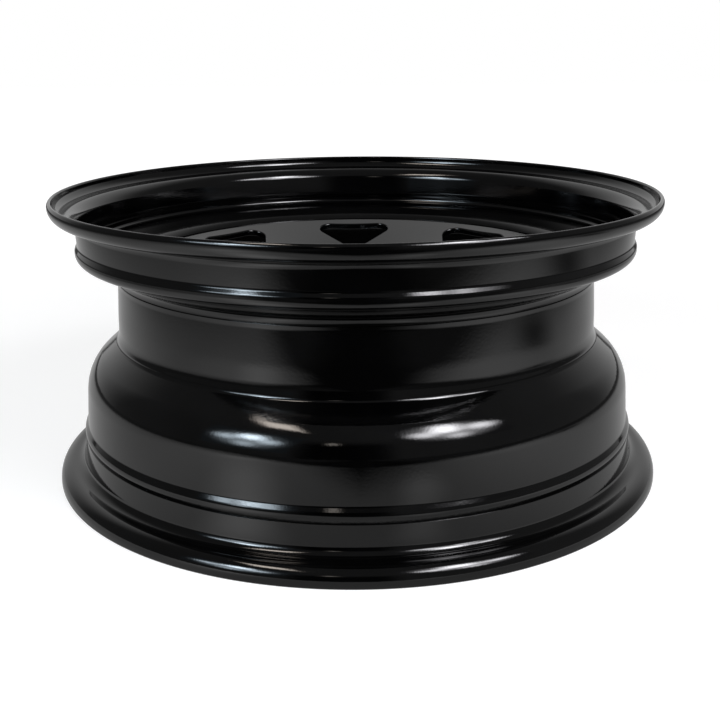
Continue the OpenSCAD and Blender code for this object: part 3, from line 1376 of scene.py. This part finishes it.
@dataclass
class Studio:
    """A pale table, painted into the floor's reflection, in a dim room: two softboxes, a warm bar, a small
    lamp and a light wall behind.
    """

    focal_px: float = 1113.85
    distance: float = 0.81417
    eye_height: float = 0.31594
    orbit: float = math.radians(-0.65)
    pitch: float = math.radians(10.5245)
    roll: float = math.radians(-0.455)
    yaw: float = math.radians(-0.040)
    centre_px: Pair = (356.5, 240.0)
    floor_half: float = 6.0
    floor_white: float = 0.36
    floor_glow: Pair = (0.76, 1.0)
    glow_reach: Pair = (0.45, 1.50)
    table_level: float = 0.44
    table_front: float = -0.367
    table_splay: Pair = (0.66, 0.45)
    table_reach: float = 0.115
    table_soft: Pair = (0.053, 0.15)
    beyond: Pair = (0.02, 0.08)
    beyond_side: Pair = (0.10, 0.32)
    table_side: Pair = (0.55, 1.10)
    # painted pools of light in the table's reflection, and one darker patch with a negative level
    painted_pools: tuple[PaintedPool, ...] = (
        PaintedPool(-0.32, -0.38, 0.34, 0.42), PaintedPool(0.39, -0.34, 0.34, 0.52), PaintedPool(0.68, -0.15, 0.20, -0.40),
        PaintedPool(-0.13, -0.245, 0.07, 0.62), PaintedPool(-0.175, -0.29, 0.085, 0.62), PaintedPool(-0.25, -0.36, 0.12, 0.35),
        PaintedPool(-0.33, -0.43, 0.12, 0.45), PaintedPool(0.072, -0.285, 0.05, 0.30), PaintedPool(0.10, -0.335, 0.06, 0.45))
    room_level: float = 0.13
    room_right: float = 0.03
    front_level: float = 0.012
    front_side: float = math.radians(-6.0)
    front_from: Pair = (0.915, 0.982)
    front_top: Pair = (0.45, 0.66)
    back_level: float = 0.50
    back_from: Pair = (-0.95, -0.35)
    back_top: Pair = (0.60, 0.90)
    near_clip: float = 0.02
    least_flat: float = 1e-4
    lights: tuple[Softbox, ...] = (LEFT_BOX, RIGHT_BOX, WARM_BAR, SMALL_LAMP)

    def camera(self) -> None:
        """Sets the camera where the photograph was taken from."""
        data = bpy.data.cameras.new("camera")
        data.sensor_width = SENSOR_MM
        data.lens = self.focal_px * SENSOR_MM / FRAME_PX
        data.shift_x = (FRAME_PX / 2 - self.centre_px[0]) / FRAME_PX
        data.shift_y = (self.centre_px[1] - FRAME_PX / 2) / FRAME_PX
        data.clip_start = self.near_clip
        yaw = self.yaw + self.orbit
        right = Vector((math.cos(yaw), math.sin(yaw), 0.0))
        ahead = Vector((-math.sin(yaw), math.cos(yaw), 0.0))
        up = Vector((0.0, 0.0, 1.0))
        look = ahead * math.cos(self.pitch) - up * math.sin(self.pitch)
        top = up * math.cos(self.pitch) + ahead * math.sin(self.pitch)
        x = right * math.cos(self.roll) + top * math.sin(self.roll)
        y = top * math.cos(self.roll) - right * math.sin(self.roll)
        turn = Matrix((x, y, -look)).transposed().to_4x4()
        turn.translation = Vector((self.distance * math.sin(self.orbit),
                                   -self.distance * math.cos(self.orbit), self.eye_height))
        obj = placed("camera", data)
        obj.matrix_world = turn
        bpy.context.scene.camera = obj

    def plane(self, name: str, corners: Sequence[Triple], mat: bpy.types.Material) -> bpy.types.Object:
        """Adds a flat stage piece.

        Args:
            name: name of the piece.
            corners: its four corners, in metres.
            mat: its material.

        Returns:
            The object.
        """
        mesh = bpy.data.meshes.new(name)
        mesh.from_pydata(corners, [], [(0, 1, 2, 3)])
        mesh.materials.append(mat)
        obj = placed(name, mesh)
        return obj

    def painted_table_reflection(self, n: Nodes) -> bpy.types.NodeSocket:
        """Painted reflection of the table as the paint shows it: an emission that stands in for a pale lit
        table, with painted pools of light and a darker patch, dim past its edges.

        Args:
            n: writer of the floor's nodes.

        Returns:
            The brightness.
        """
        place = n.new("TexCoord").outputs["Object"]
        axes = n.new("SeparateXYZ", {0: place}).outputs
        aside = n.math("ABSOLUTE", axes["X"])
        left, right = self.table_splay
        back = n.math("MAXIMUM", n.math("MULTIPLY", axes["X"], -left),
                      n.math("MINIMUM", n.math("MULTIPLY", axes["X"], right), self.table_reach))
        inside = n.math("SUBTRACT", n.math("ADD", axes["Y"], back), self.table_front)
        soft = n.math("ADD", n.math("MULTIPLY", aside, self.table_soft[1]), self.table_soft[0])
        on = n.math("MULTIPLY", n.span(n.math("DIVIDE", inside, soft), -1.0, 1.0, 0.0, 1.0),
                    n.span(aside, *self.table_side, 1.0, 0.0))
        lit = self.table_level
        for pool in self.painted_pools:
            away = n.away(place, (pool.x, pool.y, 0.0))
            lit = n.math("ADD", n.span(away, 0.0, pool.reach, pool.level, 0.0), lit)
        return n.math("ADD", n.math("MULTIPLY", on, lit), n.span(aside, *self.beyond_side, *self.beyond))

    def floor(self) -> None:
        """Lays the white floor, which shows white to the camera and still takes the wheel's shadow; to glossy
        and transmission rays it shows a painted reflection of a lit table instead.
        """
        mat, n = blank_material("white_floor")
        path = n.new("LightPath").outputs
        away = n.away(n.new("TexCoord").outputs["Object"])
        seen = n.math("MULTIPLY", path["Is Camera Ray"], n.span(away, *self.glow_reach, *self.floor_glow))
        glow = n.new("Emission", {"Color": WHITE, "Strength": seen})
        matte = n.new("BsdfDiffuse", {"Color": (self.floor_white,) * 3 + (1.0,)})
        lit = n.new("AddShader", {0: matte.outputs[0], 1: glow.outputs[0]})
        # glossy and transmission rays see a painted reflection of the lit table, not the floor's own shading
        painted_reflection = n.new("Emission", {"Color": WHITE, "Strength": self.painted_table_reflection(n)})
        bounced = n.math("MAXIMUM", path["Is Glossy Ray"], path["Is Transmission Ray"])
        both = n.new("MixShader", {0: bounced, 1: lit.outputs[0], 2: painted_reflection.outputs[0]})
        n.new("OutputMaterial", {"Surface": both.outputs[0]})
        h = self.floor_half
        self.plane("floor", [(-h, -h, 0.0), (h, -h, 0.0), (h, h, 0.0), (-h, h, 0.0)], mat)

    def world(self) -> None:
        """Sets a dim room with a dark front and a light wall behind, and white for the camera."""
        world = bpy.data.worlds.new("studio")
        world.use_nodes = True
        bpy.context.scene.world = world
        n = Nodes(world.node_tree)
        way = n.new("SeparateXYZ", {0: n.new("TexCoord").outputs["Generated"]}).outputs
        flat = n.math("SUBTRACT", 1.0, n.math("MULTIPLY", way["Z"], way["Z"]))
        level = n.math("SQRT", n.math("MAXIMUM", flat, self.least_flat))
        ahead = n.math("DIVIDE", n.math("MULTIPLY", way["Y"], -1.0), level)
        turned = n.math("ADD", n.math("MULTIPLY", ahead, math.cos(self.front_side)),
                        n.math("MULTIPLY", n.math("DIVIDE", way["X"], level), math.sin(self.front_side)))
        room = n.math("ADD", n.math("MULTIPLY", way["X"], self.room_right), self.room_level)
        low = n.span(way["Z"], *self.front_top, 1.0, 0.0)
        dip = self.room_level - self.front_level
        front = n.math("MULTIPLY", n.span(turned, *self.front_from, 0.0, dip), low)
        wall = n.math("MULTIPLY", n.span(ahead, *self.back_from, self.back_level, 0.0),
                      n.span(way["Z"], *self.back_top, 1.0, 0.0))
        bright = n.math("ADD", n.math("SUBTRACT", room, front), wall)
        path = n.new("LightPath").outputs
        bright = n.math("MAXIMUM", bright, path["Is Camera Ray"])
        sky = n.new("Background", {"Color": WHITE, "Strength": bright})
        n.new("OutputWorld", {"Surface": sky.outputs[0]})

    def lamps(self) -> None:
        """Hangs the soft lights, which light the wheel and show in its paint but not to the camera."""
        for box in self.lights:
            obj = self.plane(box.name, box.corners(), box.material())
            obj.matrix_world = box.stand()
            obj.visible_camera = False
            obj.visible_shadow = False

    def build(self) -> None:
        """Sets up the whole studio."""
        self.camera()
        self.floor()
        self.world()
        self.lamps()
        bpy.context.scene.view_settings.view_transform = "Standard"


def main() -> None:
    """Builds the studio and each sub-assembly."""
    logging.basicConfig(level=logging.INFO, format="%(name)s: %(message)s")
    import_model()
    Studio().build()
    paint = GlossPaint().material()
    weld_paint = WELD_PAINT.material()
    RimBarrel().build(paint)
    WheelDisc().build(paint)
    WeldRuns().build(weld_paint)


if __name__ == "__main__":
    main()
